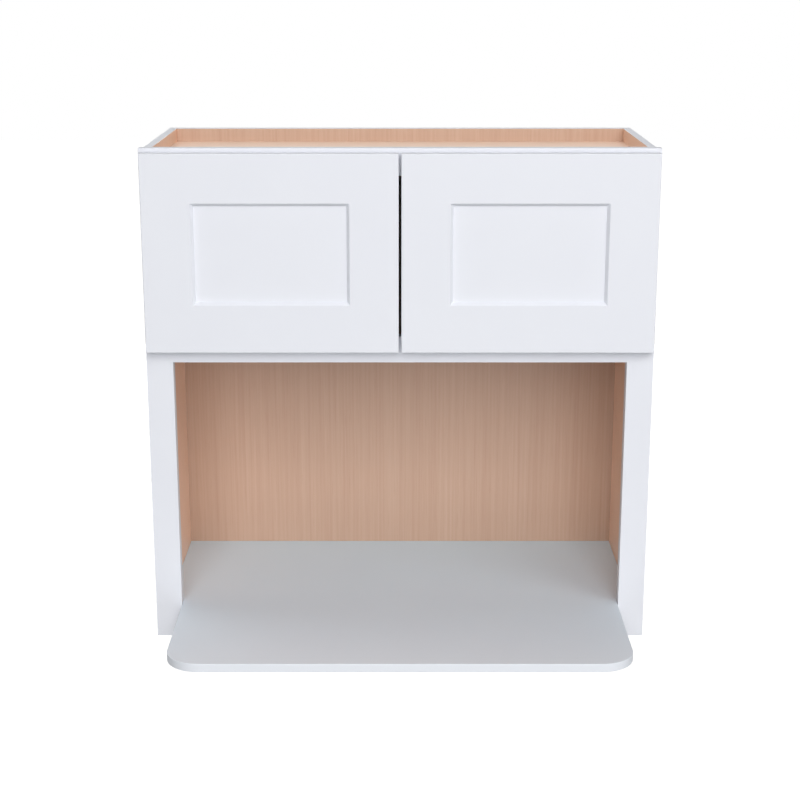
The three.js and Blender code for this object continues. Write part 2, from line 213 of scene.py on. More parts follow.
def swing(noise, spread):
    """A noise about one half, turned into a number that swings evenly about zero."""
    return (noise - 0.5) * (2 * spread)


# %% [markdown]
# ## White paint
#
# The doors, the frame and the shelf are sprayed with a cool white paint. Sprayed paint is never
# quite flat: it dries with a fine orange peel that shows in its highlights, and its sheen drifts
# a little from place to place. One fine noise makes the peel and one broad noise the drift. The
# tone itself moves by less than two hundredths, because more would look dirty.
#
# The shelf needs a paint of its own, a touch lighter and cooler than the doors'. Maple on three
# sides throws warm light on its top, and yet it looks as cool a grey there as outside. So a cool
# tint is painted on the top, growing from the front to the wall: a painted counter-light that
# cancels the maple's warm light there.

# %% White paint
PAINT = chart(237, 239, 245)
PAINT_SHADE = chart(233, 235, 242)
SHELF_PAINT = chart(238, 242, 248)
SHELF_SHADE = chart(235, 239, 246)
# A cool tint painted on the shelf's top at the wall: painted counter-light against the maple's warm
# bounce.
SHELF_ANTI_BOUNCE_PAINT = chart(216, 240, 254)
SHELF_ANTI_BOUNCE_SHADE = chart(213, 237, 253)
PAINT_ROUGHNESS = 0.5
PAINT_DRIFT = 0.1  # how far the roughness swings to either side
PAINT_SHINE = 0.3  # the shader's specular level, which is 0.5 for an ordinary gloss
PEEL_DEPTH = 0.012 * MM
LACQUER_ROUGHNESS = 0.4
LACQUER_IOR = 1.8
SKIN = 0.2 * MM  # how far under a face its finish still counts


def paint_layer(finish, where, shade=PAINT_SHADE, light=PAINT):
    """Colour, roughness and height of sprayed paint."""
    drift = finish.noise(where, scale=7, detail=3)
    peel = finish.noise(where, scale=650, detail=1)
    colour = finish.blend(drift, shade, light)
    return colour, swing(drift, PAINT_DRIFT) + PAINT_ROUGHNESS, peel * PEEL_DEPTH


def coated(name, layer, *how, shine=0.5, lacquer=0.0):
    """A finish that is one layer all over, with a clear lacquer on top if asked."""
    finish = Finish(name, {"Specular IOR Level": shine, "Coat Weight": lacquer})
    finish.drive({"Coat Roughness": LACQUER_ROUGHNESS, "Coat IOR": LACQUER_IOR})
    return finish.surface(*layer(finish, finish.place()[0], *how))


def shelf_paint():
    """The same paint, with a cool tint painted on the top towards the wall, against the maple's warm
    light.
    """
    low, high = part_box("microwave_shelf")
    finish = Finish("shelf_paint", {"Specular IOR Level": PAINT_SHINE})
    where, x, y, z = finish.place()
    span = {"Value": y, "From Min": low.y, "From Max": high.y}
    # Share of the painted cool tint: 0 at the front, 1 at the wall, on the top face only.
    painted_cool_share = finish.node("ShaderNodeMapRange", inputs=span) * (z > high.z - SKIN)
    shade = finish.blend(painted_cool_share, SHELF_SHADE, SHELF_ANTI_BOUNCE_SHADE)
    light = finish.blend(painted_cool_share, SHELF_PAINT, SHELF_ANTI_BOUNCE_PAINT)
    return finish.surface(*paint_layer(finish, where, shade, light))


white_paint = coated("white_paint", paint_layer, shine=PAINT_SHINE)
shelf_finish = shelf_paint()
print("finishes:", white_paint.name, shelf_finish.name)

# %% [markdown]
# ## Maple veneer
#
# The niche is lined with boards faced in maple. Maple has a plain figure: broad soft bands,
# straight streaks a few millimetres wide, and pores that show as fine dark lines. All three are
# the same noise at different scales, drawn out along the grain. The grain runs upwards on the
# sides and the back, and across on the boards that lie flat, so the layer takes the way to
# stretch it.
#
# The boards are one maple veneer, drawn in three tones. The back and the deck are a brownish
# maple. The sides are painted paler and pinker, a lit copy of the same maple that paints the light
# on them. The top is painted palest, a painted sheen where the light skims over it, on top of the
# real sheen of its lacquer.

# %% Maple veneer
MAPLE_PALE = chart(205, 174, 153)
MAPLE_DARK = chart(190, 153, 130)
MAPLE_PORE = chart(170, 128, 103)
# The sides' tones are painted light: a paler, pinker lit copy of the same maple.
SIDE_PAINTED_LIGHT_PALE = chart(253, 217, 192)
SIDE_PAINTED_LIGHT_DARK = chart(248, 204, 176)
# The top's tones are a painted sheen: the palest copy of the same maple, where light skims over it.
TOP_PAINTED_SHEEN_PALE = chart(255, 228, 204)
TOP_PAINTED_SHEEN_DARK = chart(251, 215, 188)
MAPLE_ROUGHNESS = 0.4
MAPLE_DRIFT = 0.06
TOP_ROUGHNESS = 0.45
BAND_CONTRAST = 0.12
STREAK_CONTRAST = 0.7
STREAK_DEPTH = 0.02 * MM
PORE_LEVEL = 0.64  # a pore is where its noise is above this
PORE_CONTRAST = 0.2
PORE_DEPTH = 0.015 * MM
DRAWN_OUT = 0.012  # how much slower the figure changes along the grain
UPRIGHT = (1, 1, DRAWN_OUT)
ACROSS = (DRAWN_OUT, 1, 1)


def maple_layer(finish, where, stretch, tones=(MAPLE_DARK, MAPLE_PALE), roughness=MAPLE_ROUGHNESS):
    """Colour, roughness and height of maple veneer."""
    bands = finish.noise(where, scale=16, detail=2, stretch=stretch)
    streaks = finish.noise(where, scale=230, detail=3, roughness=0.6, stretch=stretch)
    pores = finish.noise(where, scale=1400, detail=1, stretch=stretch)
    paleness = swing(bands, BAND_CONTRAST) + swing(streaks, STREAK_CONTRAST) + 0.5
    colour = finish.blend(paleness, *tones)
    colour = finish.blend((pores > PORE_LEVEL) * PORE_CONTRAST, colour, MAPLE_PORE)
    height = streaks * STREAK_DEPTH + pores * PORE_DEPTH
    return colour, swing(streaks, MAPLE_DRIFT) + roughness, height


top_sheen_tones = (TOP_PAINTED_SHEEN_DARK, TOP_PAINTED_SHEEN_PALE)
top_maple = coated("top_maple", maple_layer, ACROSS, top_sheen_tones, TOP_ROUGHNESS, lacquer=1.0)
deck_maple = coated("deck_maple", maple_layer, ACROSS)
print("finishes:", top_maple.name, deck_maple.name)

# %% [markdown]
# ## Plywood
#
# The boards are plywood, and the side that goes to the wall is bare. A cut edge tells what it is:
# thin plies that run by turns along and across, so that they look pale and dark by turns. Which
# ply a point is in comes from its distance through the board: divided by the thickness of two
# plies, the remainder is below one half in the pale ones and above it in the dark ones.

# %% Plywood
PLY = 1.41 * MM
PLY_PALE = chart(226, 200, 166)
PLY_DARK = chart(184, 146, 110)
PLY_GLUE = chart(150, 112, 80)
PLY_ROUGHNESS = 0.75
PLY_DRIFT = 0.05
PLY_CONTRAST = 0.7
PLY_DARKNESS = 0.4  # a face's mean tone, from pale at 0 to dark at 1
PLY_DEPTH = 0.06 * MM
DARK_PLY = 0.75  # the same, for the dark plies of an edge
FIBRE_CONTRAST = 0.3
GLUE_SHARE = 0.1  # glue line, as a share of a ply
GLUE_CONTRAST = 0.5


def ply_face(finish, where, stretch):
    """Colour, roughness and height of a bare plywood face."""
    figure = finish.noise(where, scale=90, detail=4, roughness=0.65, stretch=stretch)
    colour = finish.blend(swing(figure, PLY_CONTRAST) + PLY_DARKNESS, PLY_PALE, PLY_DARK)
    return colour, swing(figure, PLY_DRIFT) + PLY_ROUGHNESS, figure * PLY_DEPTH


def ply_edge(finish, where, through):
    """Colour of a cut edge, from the distance through the board."""
    turn = (through * (0.5 / PLY)) % 1.0
    fibres = finish.noise(where, scale=900, detail=2)
    darkness = (turn > 0.5) * DARK_PLY + swing(fibres, FIBRE_CONTRAST)
    colour = finish.blend(darkness, PLY_PALE, PLY_DARK)
    return finish.blend((turn * 2.0 % 1.0 < GLUE_SHARE) * GLUE_CONTRAST, colour, PLY_GLUE)


# %% [markdown]
# ## Boards with more than one finish
#
# A side board is painted outside and on its edges, faced in maple inside, and bare on the edge
# that goes to the wall. That could be three materials on three sets of faces. Here one material
# picks by place instead: each layer gets a mask that is 1 where the layer shows, and the mask
# comes from comparing a coordinate with the board's own faces. The faces stay in one piece.

# %% Boards with more than one finish
def masked(finish, base, *overlays):
    """Lays (mask, layer) pairs over a base layer and drives the shader with the result."""
    colour, roughness, height = base
    for mask, (other_colour, other_roughness, other_height) in overlays:
        colour = finish.blend(mask, colour, other_colour)
        roughness = roughness * (1 - mask) + other_roughness * mask
        height = height * (1 - mask) + other_height * mask
    return finish.surface(colour, roughness, height)


def side_board():
    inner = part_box("side_panel_right")[0].x
    finish = Finish("side_board")
    where, x, y, z = finish.place()
    edge = ply_edge(finish, where, abs(x) - inner), PLY_ROUGHNESS, 0.0
    return masked(
        finish,
        paint_layer(finish, where),
        # Inside, the maple in the sides' paler tones, which are painted light.
        (abs(x) < inner + SKIN, maple_layer(finish, where, UPRIGHT, (SIDE_PAINTED_LIGHT_DARK, SIDE_PAINTED_LIGHT_PALE))),
        (y > -SKIN, edge),
    )


def back_board():
    low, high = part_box("back_panel")
    finish = Finish("back_board")
    where, x, y, z = finish.place()
    return masked(
        finish,
        maple_layer(finish, where, UPRIGHT),
        (y > high.y - SKIN, ply_face(finish, where, UPRIGHT)),
        (z > high.z - SKIN, paint_layer(finish, where)),
    )


def rail_board():
    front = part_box("top_hanging_rail")[0].y
    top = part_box("top_hanging_rail")[1].z
    foot_edges = [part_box(name)[0].z for name in ("top_hanging_rail", "bottom_hanging_rail")]
    finish = Finish("rail_board")
    where, x, y, z = finish.place()
    edge = ply_edge(finish, where, y - front), PLY_ROUGHNESS, 0.0
    return masked(
        finish,
        ply_face(finish, where, ACROSS),
        *((abs(z - foot) < SKIN, edge) for foot in foot_edges),
        (z > top - SKIN, paint_layer(finish, where)),
    )


side_board_finish = side_board()
back_board_finish = back_board()
rail_board_finish = rail_board()
print("finishes:", side_board_finish.name, back_board_finish.name, rail_board_finish.name)

# %% [markdown]
# ## Metal and plastic
#
# The hinges are pressed from steel strip and nickel plated, so they are a true metal: no colour
# of their own but a warm grey reflection. Pressing leaves fine scratches along the strip and
# a sheen that varies. The screws are the same plating, a little duller. The bumpers are soft
# clear plastic, which needs light to pass through it.

# %% Metal and plastic
NICKEL = chart(205, 201, 194)
NICKEL_WORN = chart(176, 172, 166)
NICKEL_WEAR = 0.35  # how much of the worn tone there is, on average
WEAR_CONTRAST = 0.6
NICKEL_ROUGHNESS = 0.3
SCREW_ROUGHNESS = 0.38
WEAR_DRIFT = 0.12  # how far the roughness swings with the wear, and with the scratches
SCRATCH_DRIFT = 0.06
SCRATCH_DEPTH = 0.004 * MM
ALONG_STRIP = (1, 0.05, 1)
PLASTIC_DARK = chart(226, 231, 234)
PLASTIC_PALE = chart(240, 243, 245)
PLASTIC_CLEARNESS = 0.75
PLASTIC_IOR = 1.46
PLASTIC_ROUGHNESS = 0.16
HAZE_DRIFT = 0.08
HAZE_DEPTH = 0.01 * MM


def plated(name, level):
    finish = Finish(name, {"Metallic": 1.0})
    where = finish.place()[0]
    scratches = finish.noise(where, scale=2200, detail=2, stretch=ALONG_STRIP)
    clouds = finish.noise(where, scale=160, detail=3)
    colour = finish.blend(swing(clouds, WEAR_CONTRAST) + NICKEL_WEAR, NICKEL, NICKEL_WORN)
    roughness = swing(clouds, WEAR_DRIFT) + swing(scratches, SCRATCH_DRIFT) + level
    return finish.surface(colour, roughness, scratches * SCRATCH_DEPTH)


def clear_plastic():
    finish = Finish("clear_bumper", {"Transmission Weight": PLASTIC_CLEARNESS, "IOR": PLASTIC_IOR})
    where = finish.place()[0]
    haze = finish.noise(where, scale=400, detail=2)
    colour = finish.blend(haze, PLASTIC_DARK, PLASTIC_PALE)
    return finish.surface(colour, swing(haze, HAZE_DRIFT) + PLASTIC_ROUGHNESS, haze * HAZE_DEPTH)


hinge_nickel = plated("hinge_nickel", NICKEL_ROUGHNESS)
screw_nickel = plated("screw_nickel", SCREW_ROUGHNESS)
bumper_plastic = clear_plastic()
print("finishes:", hinge_nickel.name, screw_nickel.name, bumper_plastic.name)

# %% [markdown]
# ## Working on a board
#
# A packed board is exact but its edges are knife sharp, and no real board's are: a sharp edge
# would neither hold paint nor catch the light. So a board's mesh is copied and worked on. The copy
# arrives as loose triangles. Its corners are merged and its flat faces made whole first, because
# a bevel needs real edges between real faces.
#
# The finished piece takes the board's place, and rides on the same body. On a piece with round
# stretches all faces are smooth, and the Weighted Normal modifier makes the shading follow the
# larger faces, so that only the round stretches seem to turn.

# %% Working on a board
SHARP = math.radians(40)  # two faces that turn more than this meet in a hard line
ARRIS = math.radians(25)  # and more than this, in an edge that can be rounded
FLAT = math.radians(0.5)  # less than this, and they are one flat face
MERGE = 0.01 * MM  # corners nearer than this are one corner
SLIVER = 0.002 * MM  # the same for a finished piece, whose rounded edges are finer
ON_CUT = 1e-6  # a corner this near to a cut lies on it


def worked(name):
    """A copy of a node's mesh, with its corners merged and its flat faces whole."""
    mesh = bmesh.new()
    mesh.from_mesh(nodes[name].data)
    tidy(mesh)
    return mesh


def tidy(mesh):
    bmesh.ops.remove_doubles(mesh, verts=mesh.verts, dist=MERGE)
    bmesh.ops.dissolve_degenerate(mesh, edges=mesh.edges, dist=MERGE)
    bmesh.ops.dissolve_limit(mesh, angle_limit=FLAT, verts=mesh.verts, edges=mesh.edges)


def cut_across(mesh, point, normal):
    """Adds a loop of edges round a mesh where a plane meets it, and takes nothing away."""
    everything = [*mesh.verts, *mesh.edges, *mesh.faces]
    bmesh.ops.bisect_plane(mesh, geom=everything, dist=ON_CUT, plane_co=point, plane_no=normal)


def anywhere(at):
    return True


def arrises(mesh, shows=anywhere):
    """The edges between two faces that turn, where shows says yes to the edge's middle."""
    turning = [e for e in mesh.edges if e.is_manifold and e.calc_face_angle() > ARRIS]
    return [edge for edge in turning if shows((edge.verts[0].co + edge.verts[1].co) / 2)]


def ease(mesh, edges, radius, segments=3):
    """Rounds edges over."""
    corners = dict.fromkeys(corner for edge in edges for corner in edge.verts)
    rounded = bmesh.ops.bevel(
        mesh,
        geom=[*edges, *corners],
        offset=radius,
        segments=segments,
        profile=0.5,
        affect="EDGES",
        clamp_overlap=True,
        material=-1,
    )
    for face in rounded["faces"]:
        face.smooth = True


def place_piece(mesh, name, finish, slot, body, *stands_for, curved=False):
    """Makes a bmesh a piece that rides on a body, in place of the nodes that it stands for."""
    bmesh.ops.dissolve_degenerate(mesh, edges=mesh.edges, dist=SLIVER)
    for face in mesh.faces:
        face.smooth = face.smooth or curved
    for edge in mesh.edges:
        edge.smooth = edge.calc_face_angle() < SHARP
    data = bpy.data.meshes.new(name)
    mesh.to_mesh(data)
    mesh.free()
    data.materials.append(finish)
    piece = bpy.data.objects.new(name, data)
    bpy.context.scene.collection.objects.link(piece)
    if curved:
        piece.modifiers.new("even shading", "WEIGHTED_NORMAL").keep_sharp = True
    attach(piece, body)
    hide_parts(*stands_for)
    return piece


def near(value, target, reach=0.02 * MM):
    return abs(value - target) < reach


# %% [markdown]
# ## Face frame
#
# Two stiles run the full height, and three rails are tenoned between them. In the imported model
# a rail stops 0.3 mm short of the stiles, which would show as a dark line. On the real frame glue
# and paint close that joint, so the rails' shoulders are moved out to the stiles.
#
# Only the edges that a hand can touch are rounded. A stile's inner edge is free beside the two
# openings but not beside a rail, so the stile is first cut across, level with each rail's edges.
# The cut adds edges and takes nothing away. Then the free stretches are edges of their own.

# %% Face frame
FRAME_EASE = 0.5 * MM
SHOULDER_REACH = 0.4 * MM  # a little more than the gap between a rail and a stile
RAILS = ("frame_top_rail", "frame_middle_rail", "frame_bottom_rail")
opening_half, frame_half = (corner.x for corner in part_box("frame_stile_right"))
frame_front, frame_back = (corner.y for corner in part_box("frame_stile_right"))
rail_spans = [(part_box(name)[0].z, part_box(name)[1].z) for name in RAILS]


def cut_level(mesh, height):
    """Adds a loop of edges round a mesh at a height."""
    cut_across(mesh, (0, 0, height), (0, 0, 1))


def along_rail(at):
    """Is this the middle of one of a rail's long edges, which run from stile to stile?"""
    return near(at.x, 0)


def free_on_stile(at):
    """Is this the middle of an edge that stays in the open, round a stile's front or back?"""
    outside = near(at.y, frame_front) or near(at.y, frame_back)
    beside_rail = any(foot < at.z < top for foot, top in rail_spans)
    in_groove = near(at.y, frame_back) and opening_half + MM < abs(at.x) < frame_half - MM
    return outside and not in_groove and not (near(abs(at.x), opening_half) and beside_rail)


for name in RAILS:
    rail = worked(name)
    for vert in rail.verts:
        if near(abs(vert.co.x), opening_half, SHOULDER_REACH):
            vert.co.x = math.copysign(opening_half, vert.co.x)
    ease(rail, arrises(rail, along_rail), FRAME_EASE)
    place_piece(rail, name + "_eased", white_paint, "white_paint", "cabinet", name)

for hand in ("left", "right"):
    name = f"frame_stile_{hand}"
    stile = worked(name)
    for foot, top in rail_spans:
        cut_level(stile, foot)
        cut_level(stile, top)
    ease(stile, arrises(stile, free_on_stile), FRAME_EASE)
    place_piece(stile, name + "_eased", white_paint, "white_paint", "cabinet", name)
print("face frame: 2 stiles and", len(RAILS), "rails")

# %% [markdown]
# ## Carcass boards
#
# The side boards and the hanging rails get a small round along the edges that stay in the open.
# The top panel, the deck and the back sit in housings with every edge hidden or nearly so: the
# packed boards are right as they are, and only take their finish.

# %% Carcass boards
BOARD_EASE = 0.4 * MM
cabinet_foot, cabinet_top = cad_box[0].z, cad_box[1].z


def at_board_end(at):
    """Is this the middle of an edge at a side board's top, foot or back?"""
    return near(at.z, cabinet_top) or near(at.z, cabinet_foot) or near(at.y, 0)


for hand in ("left", "right"):
    name = f"side_panel_{hand}"
    board = worked(name)
    ease(board, arrises(board, at_board_end), BOARD_EASE, segments=2)
    place_piece(board, name + "_eased", side_board_finish, "maple_veneer", "cabinet", name)

for name in ("top_hanging_rail", "bottom_hanging_rail"):
    board = worked(name)
    ease(board, arrises(board), BOARD_EASE, segments=2)
    place_piece(board, name + "_eased", rail_board_finish, "plywood", "cabinet", name)

for name, finish in (
    ("top_panel", top_maple),
    ("middle_deck", deck_maple),
    ("back_panel", back_board_finish),
):
    nodes[name].material_slots[0].material = finish
print("carcass: 2 sides, 2 hanging rails, top, deck and back")

# %% [markdown]
# ## Microwave shelf
#
# The shelf is one painted board. It fills the cabinet behind the frame, where tongues hold it in
# the side boards, and runs out between the stiles to two round corners. Its rim is what a hand
# meets first, so it has a clear round all along the top and the foot. The stretch behind the
# frame is closed in and stays sharp.

# %% Microwave shelf
SHELF_EASE = 0.9 * MM
name = "microwave_shelf"
shelf = worked(name)
shelf_low, shelf_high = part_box(name)


def on_rim(at):
    return at.y < frame_front and (near(at.z, shelf_low.z) or near(at.z, shelf_high.z))


cut_across(shelf, (0, frame_front, 0), (0, 1, 0))
ease(shelf, arrises(shelf, on_rim), SHELF_EASE)
place_piece(shelf, name + "_eased", shelf_finish, "white_paint", "cabinet", name, curved=True)
print("shelf in mm:", [round((high - low) / MM, 1) for low, high in zip(shelf_low, shelf_high)])

# %% [markdown]
# ## Doors
#
# Each door has two stiles and two rails round a flat panel. The rails' ends are cut to fit over
# the stiles' profile, and glue and paint close the joint, so that from the front the frame looks
# like one piece with mitred corners. Three things are done to each member's copy:
#
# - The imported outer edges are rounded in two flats. They are put back to a square corner, which is
#   then rounded again, finer, and round the ends of the stiles as well.
# - The 0.3 mm gaps are closed: a rail's end is moved onto the stile's profile, and the lips of
#   the panel groove onto the panel.
# - The inner edge of the face is broken, where it is free.

# %% Doors: sizes
DOOR_EASE = 1.5 * MM
PROFILE_EASE = 0.35 * MM
MEMBER_FACE = 72 * MM  # flat face of a stile or rail
PROFILE_DEPTH = 5.3 * MM  # from the face to the foot of the sloping profile
GROOVE_SLACK = 0.3 * MM

stile_low, stile_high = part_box("door_inner_stile_right")
door_inner, door_outer = stile_low.x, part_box("door_outer_stile_right")[1].x
door_foot, door_top = stile_low.z, stile_high.z
door_front, door_back = stile_low.y, stile_high.y
member_width = stile_high.x - stile_low.x
panel_front, panel_back = (corner.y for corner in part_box("door_panel_right"))
tongue_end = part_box("door_top_rail_right")[0].x - door_inner
door_size = (door_outer - door_inner, door_top - door_foot)
print("door in mm:", [round(size / MM, 1) for size in door_size])

# %% Doors: closing the joints
def from_side(at):
    """Distance in from the nearer upright edge of the door."""
    return min(abs(at.x) - door_inner, door_outer - abs(at.x))


def from_end(at):
    """Distance in from the nearer of the door's top and foot."""
    return min(at.z - door_foot, door_top - at.z)


def move_from_side(vert, distance):
    hand = math.copysign(1, vert.co.x)
    inner_side = abs(vert.co.x) < (door_inner + door_outer) / 2
    vert.co.x = hand * (door_inner + distance if inner_side else door_outer - distance)


def move_from_end(vert, distance):
    upper = vert.co.z > (door_top + door_foot) / 2
    vert.co.z = door_top - distance if upper else door_foot + distance


def square_edges(mesh, distance, move):
    """Puts the rounded outer edges back to square corners."""
    for vert in mesh.verts:
        in_front = vert.co.y < door_front + DOOR_EASE + SKIN
        behind = vert.co.y > door_back - DOOR_EASE - SKIN
        if distance(vert.co) < DOOR_EASE + SKIN and (in_front or behind):
            move(vert, 0)
            vert.co.y = door_front if in_front else door_back


def close_groove(mesh):
    for vert in mesh.verts:
        if near(vert.co.y, panel_front - GROOVE_SLACK):
            vert.co.y = panel_front
        elif near(vert.co.y, panel_back + GROOVE_SLACK):
            vert.co.y = panel_back


def close_cope(mesh):
    """Moves a rail's ends out onto the stiles' profile and the floor of their groove."""
    for vert in mesh.verts:
        distance = from_side(vert.co)
        if near(distance, tongue_end):
            move_from_side(vert, tongue_end - GROOVE_SLACK)
        elif distance < member_width + MM:
            slope = min((vert.co.y - door_front) / PROFILE_DEPTH, 1)
            move_from_side(vert, MEMBER_FACE + slope * (member_width - MEMBER_FACE))


# %% Doors: making the members
def on_face_or_back(at):
    return near(at.y, door_front) or near(at.y, door_back)


def round_stile(at):
    """Is this the middle of an edge round the outside of a stile?"""
    return on_face_or_back(at) and (near(from_side(at), 0) or near(from_end(at), 0))


def round_rail(at):
    return on_face_or_back(at) and near(from_end(at), 0)


def stile_profile(at):
    """Is this the middle of the edge where a stile's face turns into its free profile?"""
    free = from_end(at) > MEMBER_FACE
    return free and near(at.y, door_front) and near(from_side(at), MEMBER_FACE)


def rail_profile(at):
    return near(at.y, door_front) and near(from_end(at), MEMBER_FACE)


def make_stile(hand, side):
    name = f"door_{side}_stile_{hand}"
    stile = worked(name)
    square_edges(stile, from_side, move_from_side)
    close_groove(stile)
    tidy(stile)
    for mitre in (door_foot + MEMBER_FACE, door_top - MEMBER_FACE):
        cut_level(stile, mitre)
    ease(stile, arrises(stile, stile_profile), PROFILE_EASE, segments=2)
    ease(stile, arrises(stile, round_stile), DOOR_EASE, segments=4)
    return place_piece(stile, name + "_eased", white_paint, "white_paint", f"{hand}_door", name)


def make_rail(hand, end):
    name = f"door_{end}_rail_{hand}"
    rail = worked(name)
    square_edges(rail, from_end, move_from_end)
    close_groove(rail)
    close_cope(rail)
    tidy(rail)
    ease(rail, arrises(rail, rail_profile), PROFILE_EASE, segments=2)
    ease(rail, arrises(rail, round_rail), DOOR_EASE, segments=4)
    return place_piece(rail, name + "_eased", white_paint, "white_paint", f"{hand}_door", name)


for hand in ("left", "right"):
    members = [make_stile(hand, side) for side in ("outer", "inner")]
    members += [make_rail(hand, end) for end in ("top", "bottom")]
    nodes[f"door_panel_{hand}"].material_slots[0].material = white_paint
    print(hand, "door:", [len(piece.data.polygons) for piece in members], "faces")

# %% [markdown]
# ## Hinges
#
# A concealed hinge is a steel cup let into the door's back, an arm screwed to the frame, and a
# pin that joins them. Cup and arm are pressings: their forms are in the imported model, and what a
# pressing adds is an edge that is rolled over a little.

# %% Hinge pressings
PRESS_EASE = 0.15 * MM

for hand in ("left", "right"):
    for place in ("upper", "lower"):
        for part, body in (("cup", f"{hand}_door"), ("arm", "cabinet")):
            name = f"{place}_hinge_{part}_{hand}"
            pressing = worked(name)
            ease(pressing, arrises(pressing), PRESS_EASE, segments=1)
            place_piece(
                pressing, name + "_pressed", hinge_nickel, "nickel_steel", body, name, curved=True
            )
        nodes[f"{place}_hinge_pin_{hand}"].material_slots[0].material = hinge_nickel
print("hinges: 4 cups and 4 arms")

# %% [markdown]
# ## Screws
#
# A screw is turned work, so its profile is drawn once, from the point up to the head, and spun
# round its own axis. The cross in the head needs corners that a spin can't give: its outline is
# filled against the head's rim, then pushed down and closed.

# %% Screws
HEAD_RADIUS = 3.3 * MM
HEAD_CURVE = ((1, 0.35), (0.93, 0.65), (0.81, 0.87), (0.62, 1))  # shares of radius and height
SHANK_RADIUS = 1.6 * MM
TIP_RADIUS = 0.35 * SHANK_RADIUS
CROSS_REACH = 1.5 * MM
CROSS_HALF = 0.42 * MM
CROSS_DEPTH = 1.1 * MM
CROSS_TAPER = 0.7  # the size of the cross at its foot, as a share of that at the top
CUP_HEAD, CUP_LENGTH = 0.9 * MM, 9 * MM
PLATE_HEAD, PLATE_LENGTH = 1.9 * MM, 15 * MM
AROUND = 32  # faces round a turned piece


def turn_round(mesh, corners, axis):
    """Joins a profile's corners in a line and spins it round an axis through the origin."""
    for pair in zip(corners, corners[1:]):
        mesh.edges.new(pair)
    bmesh.ops.spin(
        mesh,
        geom=[*mesh.verts, *mesh.edges],
        axis=axis,
        cent=(0, 0, 0),
        angle=2 * math.pi,
        steps=AROUND,
        use_merge=True,
    )
    bmesh.ops.remove_doubles(mesh, verts=mesh.verts, dist=MERGE)


def screw(head_height, length):
    """A cross-head screw along Z, whose head stands on Z = 0, as a bmesh."""
    profile = [
        (0, -length),
        (TIP_RADIUS, SHANK_RADIUS - length),
        (SHANK_RADIUS, 2 * SHANK_RADIUS - length),
        (SHANK_RADIUS, 0),
        (HEAD_RADIUS, 0),
        *((HEAD_RADIUS * out, head_height * up) for out, up in HEAD_CURVE),
    ]
    mesh = bmesh.new()
    corners = [mesh.verts.new((x, 0, z)) for x, z in profile]
    turn_round(mesh, corners, (0, 0, 1))
    cut_cross(mesh, head_height)
    bmesh.ops.recalc_face_normals(mesh, faces=mesh.faces)
    return mesh


def cut_cross(mesh, level):
    """Closes the head with a cross that is sunk into it."""
    head_rim = [edge for edge in mesh.edges if edge.is_boundary]
    quarter = [(CROSS_REACH, -CROSS_HALF), (CROSS_REACH, CROSS_HALF), (CROSS_HALF, CROSS_HALF)]
    turns = [Matrix.Rotation(math.pi / 2 * n, 3, "Z") for n in range(4)]
    outline = [mesh.verts.new(turn @ Vector((x, y, level))) for turn in turns for x, y in quarter]
    cross = [mesh.edges.new(pair) for pair in zip(outline, outline[1:] + outline[:1])]
    bmesh.ops.triangle_fill(mesh, use_beauty=True, edges=head_rim + cross)
    wall = bmesh.ops.extrude_edge_only(mesh, edges=cross)["geom"]
    floor = [item for item in wall if isinstance(item, bmesh.types.BMVert)]
    bmesh.ops.scale(mesh, vec=(CROSS_TAPER, CROSS_TAPER, 1), verts=floor)
    bmesh.ops.translate(mesh, vec=(0, 0, -CROSS_DEPTH), verts=floor)
    rim = [item for item in wall if isinstance(item, bmesh.types.BMEdge)]
    bmesh.ops.contextual_create(mesh, geom=rim)


def set_screw(name, body, seat, towards, head_height, length):
    """Puts a screw in a node's place, from where its head seats and which way the head looks."""
    mesh = screw(head_height, length)
    turn = Vector(towards).to_track_quat("Z", "Y").to_matrix().to_4x4()
    bmesh.ops.transform(mesh, matrix=Matrix.Translation(seat) @ turn, verts=mesh.verts)
    place_piece(mesh, name + "_driven", screw_nickel, "nickel_steel", body, name, curved=True)


count = 0
for hand in ("left", "right"):
    away = 1 if hand == "left" else -1
    for place in ("upper", "lower"):
        for number in (1, 2):
            name = f"{place}_cup_screw_{number}_{hand}"
            low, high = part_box(name)
            seat = ((low.x + high.x) / 2, high.y - CUP_HEAD, (low.z + high.z) / 2)
            set_screw(name, f"{hand}_door", seat, (0, 1, 0), CUP_HEAD, CUP_LENGTH)

            name = f"{place}_plate_screw_{number}_{hand}"
            low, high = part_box(name)
            head = (high.x if hand == "left" else low.x) - away * PLATE_HEAD
            seat = (head, (low.y + high.y) / 2, (low.z + high.z) / 2)
            set_screw(name, "cabinet", seat, (away, 0, 0), PLATE_HEAD, PLATE_LENGTH)
            count += 2
print("screws:", count)

# %% [markdown]
# ## Bumpers
#
# Two clear bumpers on each door's back stop it from knocking on the frame. Each is a low dome on
# a short wall: the profile comes from a formula for a quarter of an ellipse, and is spun.

# %% Bumpers
WALL_SHARE = 0.35  # how much of a bumper's height is its wall
DOME_STEPS = 8


def bumper(hand, place):
    name = f"{place}_bumper_{hand}"
    low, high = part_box(name)
    radius, height = (high.x - low.x) / 2, high.y - low.y
    wall = height * WALL_SHARE
    quarter = [math.pi / 2 * step / DOME_STEPS for step in range(DOME_STEPS + 1)]
    dome = [(radius * math.cos(a), wall + (height - wall) * math.sin(a)) for a in quarter]
    mesh = bmesh.new()
    corners = [mesh.verts.new((x, y, 0)) for x, y in [(0, 0), (radius, 0), *dome]]
    turn_round(mesh, corners, (0, 1, 0))
    bmesh.ops.recalc_face_normals(mesh, faces=mesh.faces)
    centre = ((low.x + high.x) / 2, low.y, (low.z + high.z) / 2)
    bmesh.ops.translate(mesh, vec=centre, verts=mesh.verts)
    piece = name + "_moulded"
    place_piece(mesh, piece, bumper_plastic, "clear_bumper", f"{hand}_door", name, curved=True)


